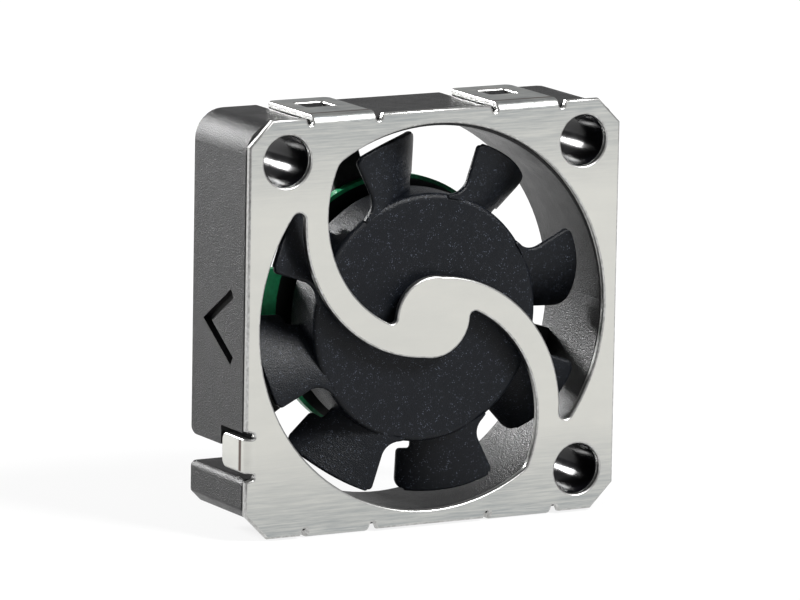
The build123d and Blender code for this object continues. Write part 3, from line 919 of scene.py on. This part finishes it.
# Inner pieces: the node, its material's name, two colours, grain, relief and roughness
inner_metals = (
    ("rotor_yoke", "drawn_steel", (0.38, 0.38, 0.39), (0.52, 0.52, 0.52), (0.1, 2, 0.1), 0.004, 0.4),
    ("shaft", "ground_steel", (0.62, 0.62, 0.63), (0.7, 0.7, 0.7), (0.05, 1, 0.05), 0.001, 0.15),
    ("shaft_clip", "spring_steel", (0.3, 0.29, 0.27), (0.45, 0.44, 0.42), (0.2, 0.2, 0.2), 0.003, 0.3),
    ("sleeve_bearing", "sintered_bronze", (0.32, 0.18, 0.09), (0.6, 0.38, 0.2), (0.06, 0.06, 0.06),
     0.01, 0.45),
    ("winding_pins", "tinned_pin", (0.6, 0.59, 0.56), (0.75, 0.74, 0.72), (0.1, 0.1, 0.1), 0.004, 0.3),
)
for name, *recipe in inner_metals:
    dressed(nodes[name], metal(*recipe))
inner_mouldings = (
    ("ring_magnet", "ferrite", (0.03, 0.03, 0.032), (0.09, 0.09, 0.09), 0.12, 0.01, 0.5),
    ("front_insulator", "front_insulator_nylon", (0.02, 0.02, 0.022), (0.07, 0.07, 0.07), 0.1, 0.012, 0.45),
    ("rear_insulator", "rear_insulator_nylon", (0.02, 0.02, 0.022), (0.07, 0.07, 0.07), 0.1, 0.012, 0.45),
    ("driver_chip", "chip_resin", (0.018, 0.018, 0.02), (0.06, 0.06, 0.06), 0.08, 0.01, 0.55),
)
for name, *recipe in inner_mouldings:
    dressed(nodes[name], moulding(*recipe))
nylon = moulding("pale_nylon", (0.62, 0.6, 0.54), (0.75, 0.73, 0.68), 0.15, 0.008, 0.42)
for name in ("oil_ring", "thrust_plate"):
    dressed(nodes[name], nylon)
core_sheets = banded("core_sheets", (0.12, 0.12, 0.13), (0.42, 0.42, 0.43), "Y", 0.35, 0.03, 0.45, 1.0)
dressed(nodes["stator_core"], core_sheets)
copper = banded("enamelled_copper", (0.25, 0.07, 0.03), (0.75, 0.32, 0.15), "out", 0.12, 0.04, 0.3, 0.9)
for number in range(1, 5):
    dressed(nodes[f"coil_{number}"], copper)
tin = (0.6, 0.58, 0.55)
dressed(nodes["chip_capacitor"], chip_ends("tinned_ceramic", (0.35, 0.22, 0.13), tin))
dressed(nodes["chip_resistor"], chip_ends("tinned_resistor", (0.02, 0.02, 0.02), tin))


# Floor, light and camera
def seen_share(made):
    """1 where the camera, a mirror or a clear piece shows the surface, and 0 where it only lights others."""
    path = node(made, "ShaderNodeLightPath")
    seen = path.outputs["Is Camera Ray"]
    for kind in ("Is Glossy Ray", "Is Transmission Ray"):
        seen = combined(made, "MAXIMUM", seen, path.outputs[kind])
    return seen


floor_mesh = bpy.data.meshes.new("floor")
floor_corners = [(x * floor_half, y * floor_half, 0) for x, y in ((-1, -1), (1, -1), (1, 1), (-1, 1))]
floor_mesh.from_pydata(floor_corners, [], [(0, 1, 2, 3)])
floor = bpy.data.objects.new("floor", floor_mesh)
bpy.context.scene.collection.objects.link(floor)
white = bpy.data.materials.new("white_floor")
white.use_nodes = True
white.node_tree.nodes.clear()
output = node(white, "ShaderNodeOutputMaterial")
mix = node(white, "ShaderNodeMixShader")
diffuse = node(white, "ShaderNodeBsdfDiffuse", Color=(0.8, 0.8, 0.8, 1))
glow = node(white, "ShaderNodeEmission")
link(white, combined(white, "MULTIPLY", seen_share(white), floor_glow), mix.inputs["Fac"])
link(white, diffuse.outputs[0], mix.inputs[1])
link(white, glow.outputs[0], mix.inputs[2])
link(white, mix.outputs[0], output.inputs["Surface"])
dressed(floor, white)

world = bpy.data.worlds.new("studio")
world.use_nodes = True
backdrop = world.node_tree.nodes["Background"]
backdrop.inputs["Color"].default_value = (1, 1, 1, 1)
strength = span(world, seen_share(world), 0.0, 1.0, world_light, world_seen)
link(world, strength, backdrop.inputs["Strength"])
bpy.context.scene.world = world


def lamp(name, location, size, power):
    """A square softbox that faces the fan."""
    light = bpy.data.lights.new(name, "AREA")
    light.shape = "SQUARE"
    light.size = size
    light.energy = power
    holder = bpy.data.objects.new(name, light)
    holder.location = middle + Vector(location)
    holder.rotation_euler = (middle - holder.location).to_track_quat("-Z", "Y").to_euler()
    bpy.context.scene.collection.objects.link(holder)


lamp("back_box", (-0.20, 0.42, 0.18), 0.09, 4.4)
lamp("key_box", (0.18, -0.30, 0.34), 0.16, 4.0)

level = cos(camera_tilt)
forward = Vector((sin(camera_turn) * level, cos(camera_turn) * level, -sin(camera_tilt)))
sideways = Vector((cos(camera_turn), -sin(camera_turn), 0))
above = sideways.cross(forward)
right = sideways * cos(camera_roll) + above * sin(camera_roll)
upward = above * cos(camera_roll) - sideways * sin(camera_roll)
target = place(camera_target[0], 0, camera_target[1])
view = bpy.data.cameras.new("photo_view")
view.sensor_fit = "HORIZONTAL"
view.sensor_width = sensor_width
view.lens = focal_pixels / image_width * sensor_width
view.clip_start = 0.01
camera = bpy.data.objects.new("photo_view", view)
rows = Matrix((right, upward, -forward)).transposed().to_4x4()
camera.matrix_world = Matrix.Translation(target - forward * camera_distance) @ rows
bpy.context.scene.collection.objects.link(camera)
bpy.context.scene.camera = camera
bpy.context.scene.view_settings.view_transform = "Standard"
